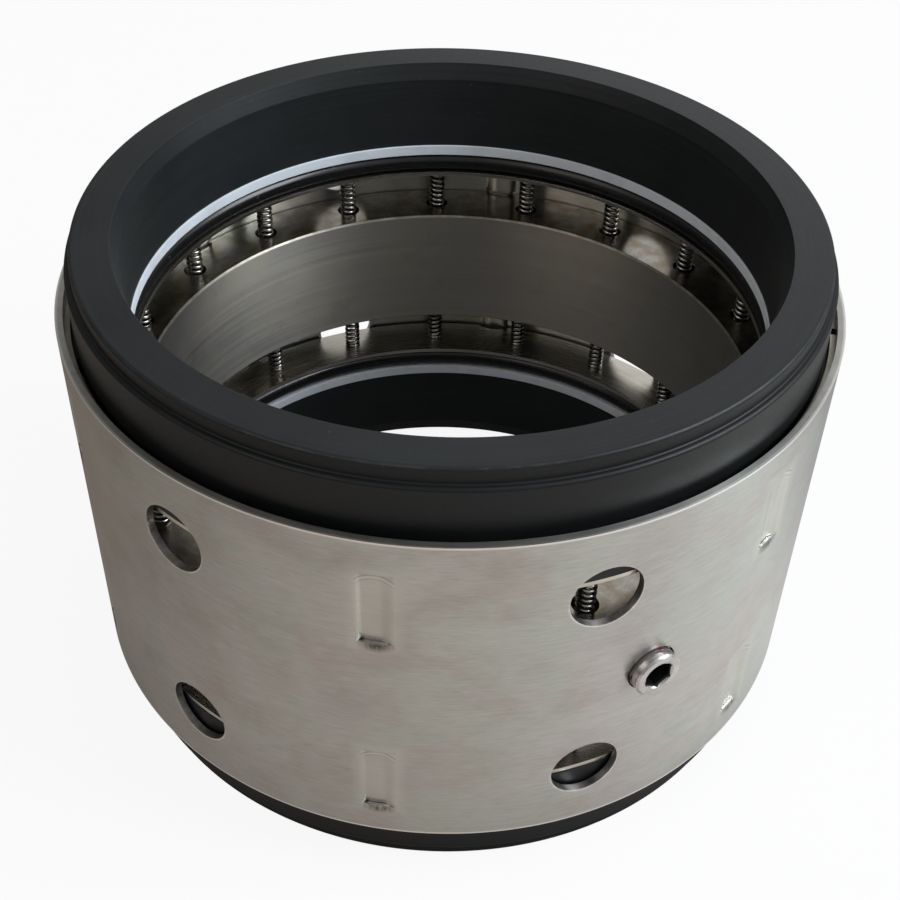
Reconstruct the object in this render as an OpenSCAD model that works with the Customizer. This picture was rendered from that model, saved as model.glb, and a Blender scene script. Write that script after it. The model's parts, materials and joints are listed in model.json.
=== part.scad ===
// Double mechanical seal: a sheet steel shell with a drive collar clamped on the shaft in its middle,
// and at each end a spring-loaded seal ring that slides along the shaft.
// Millimetres. The shaft runs along Z, the lower seal face lies on z = 0, and +X, -Y is the side
// with the backed-out set screw.

/* [Shaft] */
// Diameter of the shaft that the seal slides onto
shaft_d = 100; // [90:1:110]

/* [Shell] */
// Radial room between the shaft and the inside of the shell
shell_room = 9.8; // [9.6:0.1:10.4]
// Thickness of the shell's sheet steel
shell_wall = 1.2; // [1.1:0.05:1.25]
// Height of the shell
shell_h = 62.5; // [61:0.5:64]
// Height of the shell's rim above each snap ring
rim_h = 1.85; // [1.5:0.05:2.5]
// Diameter of the round windows
window_d = 11; // [8:0.5:12]
// Distance from a thrust plate's inner side to the centres of the windows, towards the middle plane
window_drop = 1.1; // [0.6:0.1:1.6]
// Width of a drive lug's flute on the outside of the shell
lug_w = 5.3; // [5:0.1:5.6]
// Depth to which a drive lug is pressed inward
lug_depth = 1.3; // [1.3:0.05:1.6]

/* [Drive collar] */
// Height of the drive collar
collar_h = 23; // [22:0.2:23.4]
// Thread diameter of the set screws
screw_d = 8; // [6:0.5:8]
// Length of a set screw
screw_len = 10; // [9:0.5:10]
// Width across the flats of the set screws' hexagon socket
socket_w = 4; // [3:0.5:4]
// Height by which the backed-out screw stands proud of the shell
screw_proud = 1.9; // [0.5:0.1:2.5]

/* [Springs] */
// Outer diameter of a spring
spring_od = 3; // [2.8:0.1:3.2]
// Thickness of the spring wire
spring_wire = 0.6; // [0.5:0.05:0.65]
// Number of rising turns between a spring's closed ends
spring_turns = 11; // [10:1:12]

/* [Seal rings] */
// Height of a seal face above its ring's flange
face_rise = 13.5; // [12:0.1:15]
// Thickness of a thrust plate
plate_t = 0.8; // [0.7:0.1:1]
// Thickness of the O-rings
oring_d = 3.53; // [3.4:0.01:3.6]
// Thickness of the white backup rings
backup_t = 1.9; // [1.5:0.1:2.5]
// Height of a seal ring's flange
flange_h = 7.5; // [7.3:0.1:7.6]
// Height of the narrow nose that carries the seal face
nose_h = 2.7; // [2:0.1:4]
// Distance that a seal ring can be pushed in
travel = 2.5; // [1.5:0.1:2.5]

/* [Hidden] */
$fn = 96;
eps = 0.1;

// Number of springs on each side, and of windows and drive lugs in each row
spring_count = 20;
window_count = 6;
window_step = 360 / window_count;
spring_step = 360 / spring_count;

// Places round the shaft in degrees, counted from -Y towards +X
window_az = 21.4;
lug_az = window_az - window_step / 2;
screw_az = 30.2;
hidden_screw_az = screw_az + window_step;
spring_az = 3.35;
upper_gap_az = 81;
lower_gap_az = 261;

// Clearances between neighbouring pieces
shell_fit = 0.05;
thread_fit = 0.05;
shell_hole_fit = 0.1;
slide_gap = 0.4;
lug_gap = 0.3;
lug_foot_gap = 0.5;
lug_end_gap = 0.7;
notch_relief = 0.3;
ring_bore_gap = 0.45;
plate_bore_gap = 0.3;
backup_bore_gap = 0.25;
oring_bore_gap = 0.1;
oring_seat_gap = 0.07;
backup_seat_gap = 0.2;
pocket_gap = 0.3;
spring_end_gap = 0.05;
groove_gap = 0.1;

// Radii
shaft_r = shaft_d / 2;
shell_in_r = shaft_r + shell_room;
shell_r = shell_in_r + shell_wall;
collar_r = shell_in_r - shell_fit;
flange_r = shell_in_r - slide_gap;
plate_r = flange_r - 0.1;
snap_in_r = shell_in_r - 0.9;
groove_r = shell_in_r + shell_wall / 2;
snap_r = groove_r - groove_gap;
body_r = snap_in_r - slide_gap;
nose_r = body_r - 1;
ring_bore_r = shaft_r + ring_bore_gap;
oring_r = shaft_r + oring_bore_gap + oring_d / 2;
seat_r = oring_r + oring_d / 2 + oring_seat_gap;
spring_circle_r = shaft_r + 5;
screw_r = screw_d / 2;

// The flute is an arc of this radius, and its centre lies outside the shell
lug_r = (lug_w * lug_w / 4 + lug_depth * lug_depth) / (2 * lug_depth);
lug_axis_r = shell_r - lug_depth + lug_r;
notch_r = lug_r + shell_wall + lug_gap;

// Heights from the middle plane
snap_t = 1.2;
snap_z = shell_h / 2 - rim_h;
flange_z = snap_z - snap_t;
ring_z = flange_z - flange_h;
plate_z = ring_z - plate_t;
oring_top_z = ring_z + oring_d;
seat_z = oring_top_z + backup_t;
face_z = flange_z + face_rise;
nose_z = face_z - nose_h;
mid_z = face_z;
collar_z = collar_h / 2;
window_z = plate_z - window_drop;

// A pushed-in ring's notches still clear the upper ends of the lugs
notch_z = flange_z + notch_relief;
lug_z = collar_z + lug_foot_gap;
lug_top_z = notch_z - travel - lug_end_gap;

// Small edge breaks
shell_edge = 0.25;
collar_edge = 0.45;
collar_outer_edge = 0.3;
ring_edge = 0.25;
screw_edge = 0.6;

// The lead-in bevel at the mouth of a seal ring's bore
lead_w = 0.95;
lead_h = 2.8;

// Set screw sockets and points
socket_depth = screw_d / 2;
cup_depth = 1;

// A spring's wire rises steadily, so each half turn is half of a tilted ring. The spring is wound
// at a size and a slope where all its turns meet exactly, then brought to its own size.
wound_turn_r = 1.5625;
steep_angle = asin(7 / 25);
flatter_angle = asin(237 / 3125);
slope_angle = steep_angle - flatter_angle;
wound_coil_r = wound_turn_r * cos(slope_angle);
wound_rise = 2 * wound_turn_r * sin(slope_angle);
spring_scale = (spring_od - spring_wire) / 2 / wound_coil_r;
spring_len = 2 * spring_turns * wound_rise * spring_scale + spring_wire;
pocket_r = spring_od / 2 + pocket_gap;
pocket_mouth_r = pocket_r + 0.5;
pocket_z = plate_z - spring_end_gap - spring_len;

function numbered(name, i) = str(name, i < 10 ? "_0" : "_", i);

// Puts a piece at the middle plane's height, and a lower one upside down below it
module upper_side() {
    translate([0, 0, mid_z])
        children();
}

module lower_side() {
    translate([0, 0, mid_z])
        mirror([0, 0, 1])
            children();
}

module both_sides() {
    children();
    mirror([0, 0, 1])
        children();
}

// A place at an azimuth, a radius and a height from the middle plane
module at(az, r, z = 0) {
    rotate([0, 0, az])
        translate([0, -r, z])
            children();
}

module ring(in_r, out_r, z0, z1) {
    rotate_extrude()
        polygon([[in_r, z0], [out_r, z0], [out_r, z1], [in_r, z1]]);
}

// Points outward from the shaft, from radius r0 to r1
module radial(az, z, r0, r1, r) {
    at(az, r0, z)
        rotate([90, 0, 0])
            cylinder(r = r, h = r1 - r0);
}

// The vertical cylinders on which the drive lugs are formed
module lug_cylinders(r, z0, z1) {
    for (i = [0 : window_count - 1])
        at(lug_az + i * window_step, lug_axis_r, z0)
            cylinder(r = r, h = z1 - z0);
}

// Half of the shell's wall, from the middle plane to the upper rim, with its snap ring groove
module shell_wall_half() {
    rotate_extrude($fn = 180)
        polygon([
            [shell_in_r, 0],
            [shell_r, 0],
            [shell_r, shell_h / 2 - shell_edge],
            [shell_r - shell_edge, shell_h / 2],
            [shell_in_r + shell_edge, shell_h / 2],
            [shell_in_r, shell_h / 2 - shell_edge],
            [shell_in_r, snap_z],
            [groove_r, snap_z],
            [groove_r, flange_z - groove_gap],
            [shell_in_r, flange_z - groove_gap]
        ]);
}

// Each lug is a strip of the wall, cut free at its two ends and bowed inward with the wall's own thickness
module shell_lugs() {
    intersection() {
        cylinder(r = shell_r, h = shell_h, $fn = 180);
        lug_cylinders(lug_r + shell_wall, lug_z, lug_top_z);
    }
}

module sleeve() {
    color("#a39e97")
        upper_side()
            difference() {
                both_sides() {
                    shell_wall_half();
                    shell_lugs();
                }
                both_sides() {
                    lug_cylinders(lug_r, lug_z, lug_top_z);
                    for (i = [0 : window_count - 1])
                        radial(window_az + i * window_step, window_z, shaft_r, shell_r + eps, window_d / 2);
                }
                for (az = [screw_az, hidden_screw_az])
                    radial(az, 0, shaft_r, shell_r + eps, screw_r + shell_hole_fit);
            }
}

// A blind hole for one spring, with a bevelled mouth
module spring_pocket() {
    translate([0, 0, pocket_z])
        cylinder(r = pocket_r, h = collar_z - pocket_z + eps, $fn = 32);
    translate([0, 0, collar_z - (pocket_mouth_r - pocket_r)])
        cylinder(r1 = pocket_r, r2 = pocket_mouth_r, h = pocket_mouth_r - pocket_r, $fn = 32);
}

module drive_collar() {
    color("#8d8a84")
        upper_side()
            difference() {
                rotate_extrude($fn = 180)
                    polygon([
                        [shaft_r, -collar_z + collar_edge],
                        [shaft_r + collar_edge, -collar_z],
                        [collar_r - collar_outer_edge, -collar_z],
                        [collar_r, -collar_z + collar_outer_edge],
                        [collar_r, collar_z - collar_outer_edge],
                        [collar_r - collar_outer_edge, collar_z],
                        [shaft_r + collar_edge, collar_z],
                        [shaft_r, collar_z - collar_edge]
                    ]);
                both_sides()
                    for (i = [0 : spring_count - 1])
                        at(spring_az + i * spring_step, spring_circle_r)
                            spring_pocket();
                for (az = [screw_az, hidden_screw_az])
                    radial(az, 0, shaft_r - eps, collar_r + eps, screw_r + thread_fit);
            }
}

// A headless set screw with a hexagon socket and a cup point, lying outward with its outer end at out_r
module screw(az, out_r) {
    color("#77746e")
        upper_side()
            at(az, out_r)
                rotate([-90, 0, 0])
                    difference() {
                        rotate_extrude($fn = 48)
                            polygon([
                                [0, 0],
                                [screw_r - screw_edge, 0],
                                [screw_r, screw_edge],
                                [screw_r, screw_len - screw_edge],
                                [screw_r - screw_edge, screw_len],
                                [screw_r / 2, screw_len],
                                [0, screw_len - cup_depth]
                            ]);
                        translate([0, 0, -eps])
                            cylinder(d = socket_w / cos(30), h = socket_depth + eps, $fn = 6);
                    }
}

// The seal ring: flange behind the snap ring, body, and nose with the seal face on top
module face_ring() {
    color("#3c3d3e")
        difference() {
            rotate_extrude($fn = 180)
                polygon([
                    [seat_r, ring_z],
                    [flange_r, ring_z],
                    [flange_r, flange_z],
                    [body_r, flange_z],
                    [body_r, nose_z - ring_edge],
                    [body_r - ring_edge, nose_z],
                    [nose_r, nose_z],
                    [nose_r, face_z - ring_edge],
                    [nose_r - ring_edge, face_z],
                    [ring_bore_r + lead_w, face_z],
                    [ring_bore_r, face_z - lead_h],
                    [ring_bore_r, seat_z],
                    [seat_r, seat_z]
                ]);
            lug_cylinders(notch_r, ring_z - eps, notch_z);
        }
}

module backup_ring() {
    color("#eef0f2")
        ring(shaft_r + backup_bore_gap, seat_r - backup_seat_gap, oring_top_z, seat_z);
}

module oring() {
    color("#18181a")
        translate([0, 0, ring_z + oring_d / 2])
            rotate_extrude()
                translate([oring_r, 0])
                    circle(d = oring_d, $fn = 32);
}

module thrust_plate() {
    color("#9b968c")
        difference() {
            ring(shaft_r + plate_bore_gap, plate_r, plate_z, ring_z);
            lug_cylinders(notch_r, plate_z - eps, ring_z + eps);
        }
}

// A flat spring steel ring, open at one place
module snap_ring(gap_az) {
    gap_angle = 1.5;
    color("#7b7566")
        rotate([0, 0, gap_az - 90 + gap_angle / 2])
            rotate_extrude(angle = 360 - gap_angle, $fn = 180)
                polygon([[snap_in_r, flange_z], [snap_r, flange_z], [snap_r, snap_z], [snap_in_r, snap_z]]);
}

// Half a turn of wire, which crosses the X axis at both ends
module half_turn(r) {
    rotate_extrude(angle = 180, $fn = 48)
        translate([r, 0])
            circle(d = spring_wire / spring_scale, $fn = 16);
}

module rising_half_turns(n) {
    for (k = [0 : n - 1])
        translate([0, 0, (k + 0.5) * wound_rise])
            rotate([0, 0, 180 * k])
                rotate([0, steep_angle, 0])
                    rotate([0, -flatter_angle, 0])
                        half_turn(wound_turn_r);
}

// Lifts the second half of a spring onto the first, with the wire's ends together
module on_top() {
    translate([0, 0, spring_turns * wound_rise])
        rotate([0, 0, 180 * spring_turns])
            children();
}

// A coil spring that stands on z = 0, with a flat half turn at each end
module spring() {
    color("#c9c6c0")
        translate([0, 0, spring_wire / 2])
            scale(spring_scale) {
                rotate([0, 0, 180])
                    half_turn(wound_coil_r);
                rising_half_turns(spring_turns);
                on_top() {
                    rising_half_turns(spring_turns);
                    on_top()
                        half_turn(wound_coil_r);
                }
            }
}

module spring_in_pocket(i) {
    at(spring_az + (i - 1) * spring_step, spring_circle_r, pocket_z)
        spring();
}

sleeve();
drive_collar();
screw(screw_az, shell_r + screw_proud);  // set_screw
screw(hidden_screw_az, shell_r);  // hidden_set_screw
upper_side() face_ring();  // upper_face_ring
upper_side() backup_ring();  // upper_backup_ring
upper_side() oring();  // upper_oring
upper_side() thrust_plate();  // upper_thrust_plate
upper_side() snap_ring(upper_gap_az);  // upper_snap_ring
lower_side() face_ring();  // lower_face_ring
lower_side() backup_ring();  // lower_backup_ring
lower_side() oring();  // lower_oring
lower_side() thrust_plate();  // lower_thrust_plate
lower_side() snap_ring(lower_gap_az);  // lower_snap_ring
for (i = [1 : spring_count])
    upper_side() spring_in_pocket(i);
for (i = [1 : spring_count])
    lower_side() spring_in_pocket(i);
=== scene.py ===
import json
import math

import bmesh
import bpy
from bpy.props import FloatProperty, FloatVectorProperty, IntProperty, PointerProperty
from mathutils import Matrix, Vector
from mathutils.geometry import delaunay_2d_cdt


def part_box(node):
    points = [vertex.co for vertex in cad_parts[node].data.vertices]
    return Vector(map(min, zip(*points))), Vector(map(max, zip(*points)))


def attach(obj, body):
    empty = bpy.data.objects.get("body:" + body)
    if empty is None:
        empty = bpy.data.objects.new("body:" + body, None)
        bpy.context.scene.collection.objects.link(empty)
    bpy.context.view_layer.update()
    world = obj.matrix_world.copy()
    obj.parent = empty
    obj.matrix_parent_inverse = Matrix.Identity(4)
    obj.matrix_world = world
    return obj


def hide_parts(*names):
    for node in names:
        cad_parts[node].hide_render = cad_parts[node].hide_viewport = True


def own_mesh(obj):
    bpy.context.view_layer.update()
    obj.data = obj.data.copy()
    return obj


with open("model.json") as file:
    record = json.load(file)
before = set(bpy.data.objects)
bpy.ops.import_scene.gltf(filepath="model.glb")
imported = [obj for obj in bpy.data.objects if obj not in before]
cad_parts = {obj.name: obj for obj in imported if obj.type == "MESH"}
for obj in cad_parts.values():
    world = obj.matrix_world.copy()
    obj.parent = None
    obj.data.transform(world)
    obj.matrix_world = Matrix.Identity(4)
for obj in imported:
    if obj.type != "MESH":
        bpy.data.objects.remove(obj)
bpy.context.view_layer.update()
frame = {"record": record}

bl_info = {
    "name": "Double mechanical seal",
    "version": (1, 0, 0),
    "blender": (4, 5, 0),
    "location": "View3D > Sidebar > Seal",
    "description": "Dresses the packed double mechanical seal with its detailed pieces and finishes",
    "category": "Object",
}

MM = 0.001

# Sizes that the frame gives, in metres
SHELL_LOW, SHELL_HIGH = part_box("sleeve")
COLLAR_LOW, COLLAR_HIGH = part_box("drive_collar")
RING_LOW, RING_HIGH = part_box("upper_face_ring")
PLATE_LOW, PLATE_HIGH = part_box("upper_thrust_plate")
SNAP_LOW, SNAP_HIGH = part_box("upper_snap_ring")
BACKUP_LOW, BACKUP_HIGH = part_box("upper_backup_ring")
ORING_LOW, ORING_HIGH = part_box("upper_oring")
SPRING_LOW, SPRING_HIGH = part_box("upper_spring_01")
MOUNTS = {mount["name"]: mount for mount in frame["record"]["mounts"]}

# Radii, and heights from the middle plane between the two mirrored ends
MID_Z = (SHELL_LOW.z + SHELL_HIGH.z) / 2
SHELL_R = (SHELL_HIGH.x - SHELL_LOW.x) / 2
SHELL_HALF = SHELL_HIGH.z - MID_Z
SHAFT_R = MOUNTS["shaft_bore"]["dims"]["r_mm"] * MM
COLLAR_R = (COLLAR_HIGH.x - COLLAR_LOW.x) / 2
COLLAR_HALF = COLLAR_HIGH.z - MID_Z
FLANGE_R = (RING_HIGH.x - RING_LOW.x) / 2
RING_FOOT = RING_LOW.z - MID_Z
FACE_Z = RING_HIGH.z - MID_Z
PLATE_R = (PLATE_HIGH.x - PLATE_LOW.x) / 2
PLATE_FOOT = PLATE_LOW.z - MID_Z
SNAP_R = (SNAP_HIGH.x - SNAP_LOW.x) / 2
SNAP_FOOT = SNAP_LOW.z - MID_Z
SNAP_TOP = SNAP_HIGH.z - MID_Z
BACKUP_R = (BACKUP_HIGH.x - BACKUP_LOW.x) / 2
BACKUP_FOOT = BACKUP_LOW.z - MID_Z
BACKUP_TOP = BACKUP_HIGH.z - MID_Z
ORING_OUT_R = (ORING_HIGH.x - ORING_LOW.x) / 2
ORING_D = ORING_HIGH.z - ORING_LOW.z
SPRING_FOOT = SPRING_LOW.z - MID_Z
SPRING_LEN = SPRING_HIGH.z - SPRING_LOW.z

# Small sizes that follow from how the pieces fit
LUG_ABOVE_COLLAR = 0.5 * MM
GROOVE_ROOM = 0.3 * MM
SHELL_SCREW_HOLE_R = 4.1 * MM
SNAP_REACH_IN = 0.9 * MM
SCREW_TIP = 0.8 * MM
THREAD_RIDGE = 0.42 * MM
NEAR_AXIS = 0.0001 * MM

# Places round the shaft in degrees, counted from -Y towards +X
WINDOW_AZ = 21.4
LUG_AZ = -8.6
SCREW_AZ = 30.2
HIDDEN_SCREW_AZ = 90.2
SPRING_AZ = 3.35
SNAP_GAP_AZ = {1: 81.0, -1: 261.0}
SNAP_GAP = 1.5
SIDES = {1: "upper", -1: "lower"}


# Properties that a user would change

def size_in_mm(label, description, millimetres):
    return FloatProperty(name=label, description=description, default=millimetres * MM, unit="LENGTH")


def colour_of(label, description, red, green, blue):
    return FloatVectorProperty(
        name=label, description=description, default=(red, green, blue), size=3, subtype="COLOR")


class ShellProperties(bpy.types.PropertyGroup):
    wall: size_in_mm("Wall", "Thickness of the shell's sheet", 1.2)
    window_radius: size_in_mm("Window radius", "Radius of the round windows", 5.5)
    window_height: size_in_mm("Window height", "Height of the windows from the middle plane", 18.8)
    count: IntProperty(name="Windows", description="Windows and drive lugs in each row", default=6, min=3)
    lug_width: size_in_mm("Lug width", "Width of a drive lug's flute", 5.3)
    lug_depth: size_in_mm("Lug depth", "Depth of the room that a drive lug takes in the pieces behind it", 1.3)
    lug_press: size_in_mm("Lug press", "A lug is pressed in by half of this, and by more at its lower end", 0.95)
    lug_flank: size_in_mm("Lug flank", "Width over which a lug's left side slopes down", 0.55)
    lug_slope: size_in_mm("Lug slope", "Width over which a lug's right side slopes down", 2.1)
    lug_length: size_in_mm("Lug length", "Length of a drive lug", 13.3)
    colour: colour_of("Colour", "Colour of the shell's steel", 0.51, 0.497, 0.478)


class CollarProperties(bpy.types.PropertyGroup):
    hole_radius: size_in_mm("Hole radius", "Radius of the set screws' threaded holes", 4.05)
    pocket_radius: size_in_mm("Pocket radius", "Radius of the spring pockets", 1.8)
    mouth_radius: size_in_mm("Mouth radius", "Radius of a pocket's bevelled mouth", 2.3)
    edge: size_in_mm("Edge", "Width of the bevel at the bore's edges", 0.3)
    colour: colour_of("Colour", "Colour of the collar's steel", 0.42, 0.4, 0.37)


class SealRingProperties(bpy.types.PropertyGroup):
    body_radius: size_in_mm("Body radius", "Radius of a seal ring's body", 58.5)
    nose_radius: size_in_mm("Nose radius", "Radius of the nose", 57.5)
    nose_height: size_in_mm("Nose height", "Height of the nose", 2.7)
    flange_height: size_in_mm("Flange height", "Height of the flange", 7.5)
    lead_width: size_in_mm("Lead width", "Width of the bevel at the bore's mouth", 0.95)
    lead_height: size_in_mm("Lead height", "Height of the bevel at the bore's mouth", 2.8)
    colour: colour_of("Colour", "Colour of the seal rings", 0.0145, 0.0168, 0.018)


class SpringProperties(bpy.types.PropertyGroup):
    count: IntProperty(name="Springs", description="Springs on each side", default=20, min=1)
    circle_radius: size_in_mm("Circle radius", "Radius of the circle on which the springs stand", 55)
    coil_radius: size_in_mm("Coil radius", "Radius to the middle of the wire", 1.2)
    wire: size_in_mm("Wire", "Thickness of the wire", 0.6)
    turns: IntProperty(name="Turns", description="Rising turns of a spring", default=11, min=2)


class ScrewProperties(bpy.types.PropertyGroup):
    radius: size_in_mm("Radius", "Radius of the set screws' thread", 4)
    length: size_in_mm("Length", "Length of a set screw", 10)
    pitch: size_in_mm("Pitch", "Pitch of the thread", 1.25)
    socket: size_in_mm("Socket", "Width across the socket's flats", 4.4)
    land: size_in_mm("Land", "Height of the plain end above the thread", 0.55)
    proud: size_in_mm("Proud", "Height of the backed-out screw above the shell", 1.9)


class StageProperties(bpy.types.PropertyGroup):
    focal_length: FloatProperty(
        name="Focal length", description="Focal length in millimetres on a 36 mm sensor", default=58.86)
    floor_colour: colour_of("Floor", "Colour of the floor", 0.8, 0.8, 0.8)
    world_strength: FloatProperty(
        name="World light", description="Strength of the light from all round", default=1.0)
    key_power: FloatProperty(
        name="Key lamp", description="Power of the large lamp on the right in watts", default=6.8)


# Helpers for meshes

def on_circle(azimuth, radius, height=0.0):
    """The point at an azimuth in degrees from -Y towards +X."""
    angle = math.radians(azimuth)
    return Vector((radius * math.sin(angle), -radius * math.cos(angle), height))


def new_object(name, mesh):
    piece = bpy.data.objects.new(name, mesh)
    bpy.context.scene.collection.objects.link(piece)
    return piece


def from_bmesh(name, mesh):
    """A new object with the mesh that was built, which is freed."""
    data = bpy.data.meshes.new(name)
    mesh.to_mesh(data)
    mesh.free()
    return new_object(name, data)


def rounded(corners, steps=3):
    """A closed profile from corners (radius, height, fillet radius), with an arc at each corner that has a fillet."""
    points = []
    for i, (r, z, fillet) in enumerate(corners):
        here = Vector((r, z))
        if fillet <= 0:
            points.append(here)
            continue
        before = Vector(corners[i - 1][:2]) - here
        after = Vector(corners[(i + 1) % len(corners)][:2]) - here
        half = before.angle(after) / 2
        reach = fillet / math.tan(half)
        centre = here + (before.normalized() + after.normalized()).normalized() * fillet / math.sin(half)
        start = here + before.normalized() * reach - centre
        turn = start.angle_signed(here + after.normalized() * reach - centre)
        for k in range(steps + 1):
            points.append(centre + Matrix.Rotation(-turn * k / steps, 2) @ start)
    return points


def flat_section(inner, outer, foot, top, inner_fillet, outer_fillet, steps=3):
    """The section of a ring with flat ends."""
    return rounded([
        (inner, foot, inner_fillet), (outer, foot, outer_fillet),
        (outer, top, outer_fillet), (inner, top, inner_fillet),
    ], steps)


def lathe(name, profile, segments=256, gap_azimuth=0.0, gap=0.0):
    """Turns a closed profile of (radius, height) points round the Z axis, all the way or up to a gap in degrees."""
    mesh = bmesh.new()
    rings = []
    for k in range(segments + (1 if gap else 0)):
        azimuth = gap_azimuth + gap / 2 + (360 - gap) * k / segments
        rings.append([mesh.verts.new(on_circle(azimuth, p[0], p[1])) for p in profile])
    count = len(profile)
    for here, there in zip(rings, rings[1:] if gap else rings[1:] + rings[:1]):
        for i in range(count):
            j = (i + 1) % count
            mesh.faces.new((here[i], there[i], there[j], here[j]))
    if gap:
        mesh.faces.new(rings[0])
        mesh.faces.new(rings[-1][::-1])
    bmesh.ops.recalc_face_normals(mesh, faces=mesh.faces)
    return from_bmesh(name, mesh)


def as_plain_mesh(piece):
    """Replaces a piece's mesh by the result of its modifiers, and removes them."""
    bpy.context.view_layer.update()
    depsgraph = bpy.context.evaluated_depsgraph_get()
    result = bpy.data.meshes.new_from_object(piece.evaluated_get(depsgraph), depsgraph=depsgraph)
    piece.modifiers.clear()
    old, piece.data = piece.data, result
    name = old.name
    bpy.data.meshes.remove(old)
    result.name = name
    return piece


def shade(piece, angle=35):
    """Smooth faces with sharp edges where the surface turns by more than the angle, and flat faces kept flat."""
    piece.data.shade_smooth()
    piece.data.set_sharp_from_angle(angle=math.radians(angle))
    weigh = piece.modifiers.new("Weighted normals", "WEIGHTED_NORMAL")
    weigh.keep_sharp = True
    weigh.weight = 90
    as_plain_mesh(piece)


def move(piece, matrix):
    """Places a piece by its mesh, so that its object stays at the origin."""
    piece.data.transform(matrix)
    if matrix.determinant() < 0:
        piece.data.flip_normals()
    return piece


def mirrored(side):
    """The place of a piece that is made for the upper end in heights from the middle plane."""
    return Matrix.Translation((0, 0, MID_Z)) @ Matrix.Scale(side, 4, (0, 0, 1))


def laid_outward(azimuth, reach, height=0.0):
    """Turns a piece that is made along Z so that Z points outward, with its origin that far from the shaft's axis."""
    turn = Matrix.Rotation(math.radians(azimuth), 4, "Z")
    return turn @ Matrix.Translation((0, -reach, height)) @ Matrix.Rotation(math.radians(90), 4, "X")


def cut_away(piece, tool):
    """Cuts the closed forms of a bmesh out of a piece."""
    cutter = from_bmesh("cutting_tool", tool)
    cut = piece.modifiers.new("Cut", "BOOLEAN")
    cut.operation, cut.solver, cut.object, cut.use_self = "DIFFERENCE", "EXACT", cutter, True
    as_plain_mesh(piece)
    data = cutter.data
    bpy.data.objects.remove(cutter)
    bpy.data.meshes.remove(data)


def finish_piece(piece, material, body, slot, *nodes):
    """Gives a piece its material and its body, and hides the nodes it stands for. The slot is not used."""
    piece.data.materials.clear()
    piece.data.materials.append(material)
    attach(piece, body)
    if nodes:
        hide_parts(*nodes)


# Helpers for node trees

class Tree:
    """Short calls for building one node tree."""

    def __init__(self, tree):
        self.tree = tree

    def add(self, kind, inputs=None, **settings):
        """Adds a node, applies its settings and fills its inputs with values or links."""
        node = self.tree.nodes.new(kind)
        for key, value in settings.items():
            setattr(node, key, value)
        for key, value in (inputs or {}).items():
            if isinstance(value, bpy.types.NodeSocket):
                self.tree.links.new(value, node.inputs[key])
            else:
                node.inputs[key].default_value = value
        return node

    def out(self, kind, inputs=None, **settings):
        """Adds a node and gives its first output."""
        return self.add(kind, inputs, **settings).outputs[0]

    def math(self, operation, *values, clamp=False):
        return self.out("ShaderNodeMath", dict(enumerate(values)), operation=operation, use_clamp=clamp)

    def plus(self, first, *others):
        for other in others:
            first = self.math("ADD", first, other)
        return first

    def times(self, first, *others):
        for other in others:
            first = self.math("MULTIPLY", first, other)
        return first

    def minus(self, a, b):
        return self.math("SUBTRACT", a, b)

    def absolute(self, a):
        return self.math("ABSOLUTE", a)

    def greatest(self, a, b):
        return self.math("MAXIMUM", a, b)

    def hypotenuse(self, a, b):
        return self.math("SQRT", self.plus(self.times(a, a), self.times(b, b)))

    def azimuth(self, x, y):
        """The angle round the shaft in radians, from -Y towards +X."""
        return self.math("ARCTAN2", x, self.times(y, -1.0))

    def vector(self, operation, *values):
        node = self.add("ShaderNodeVectorMath", dict(enumerate(values)), operation=operation)
        return node.outputs["Value" if operation in ("LENGTH", "DOT_PRODUCT", "DISTANCE") else "Vector"]

    def combine(self, x, y, z):
        return self.out("ShaderNodeCombineXYZ", {"X": x, "Y": y, "Z": z})

    def split(self, place):
        return self.add("ShaderNodeSeparateXYZ", {0: place}).outputs

    def mix(self, factor, a, b):
        """A colour between a and b."""
        a, b = (c if isinstance(c, bpy.types.NodeSocket) else (*c, 1.0) for c in (a, b))
        return self.add("ShaderNodeMix", {0: factor, 6: a, 7: b}, data_type="RGBA").outputs[2]


# Geometry node trees

SOCKET_KINDS = {int: "NodeSocketInt", float: "NodeSocketFloat", type(None): "NodeSocketMaterial"}


def tree_with_inputs(name, inputs, geometry_in=False):
    """A new geometry tree with named inputs. Returns its short calls and its input sockets by name."""
    group = bpy.data.node_groups.new(name, "GeometryNodeTree")
    group.interface.new_socket("Geometry", in_out="OUTPUT", socket_type="NodeSocketGeometry")
    if geometry_in:
        group.interface.new_socket("Geometry", in_out="INPUT", socket_type="NodeSocketGeometry")
    for label, default in inputs.items():
        socket = group.interface.new_socket(label, in_out="INPUT", socket_type=SOCKET_KINDS[type(default)])
        if default is not None:
            socket.default_value = default
    start = group.nodes.new("NodeGroupInput")
    return Tree(group), {s.name: s for s in start.outputs if s.name}


def end_tree(t, shape, material):
    """Ends a geometry tree with one plain mesh in its material."""
    whole = t.out("GeometryNodeRealizeInstances", {"Geometry": shape})
    painted = t.out("GeometryNodeSetMaterial", {"Geometry": whole, "Material": material})
    t.add("NodeGroupOutput", {"Geometry": painted})
    return t.tree


def run_tree(piece, group, **values):
    """Runs a geometry tree on a piece with its inputs set by identifier, and keeps the result as a plain mesh."""
    modifier = piece.modifiers.new(group.name, "NODES")
    modifier.node_group = group
    wanted = {key.replace("_", " ").lower(): value for key, value in values.items()}
    for item in group.interface.items_tree:
        if item.in_out == "INPUT" and item.name.lower() in wanted:
            modifier[item.identifier] = wanted[item.name.lower()]
    as_plain_mesh(piece)


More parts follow.
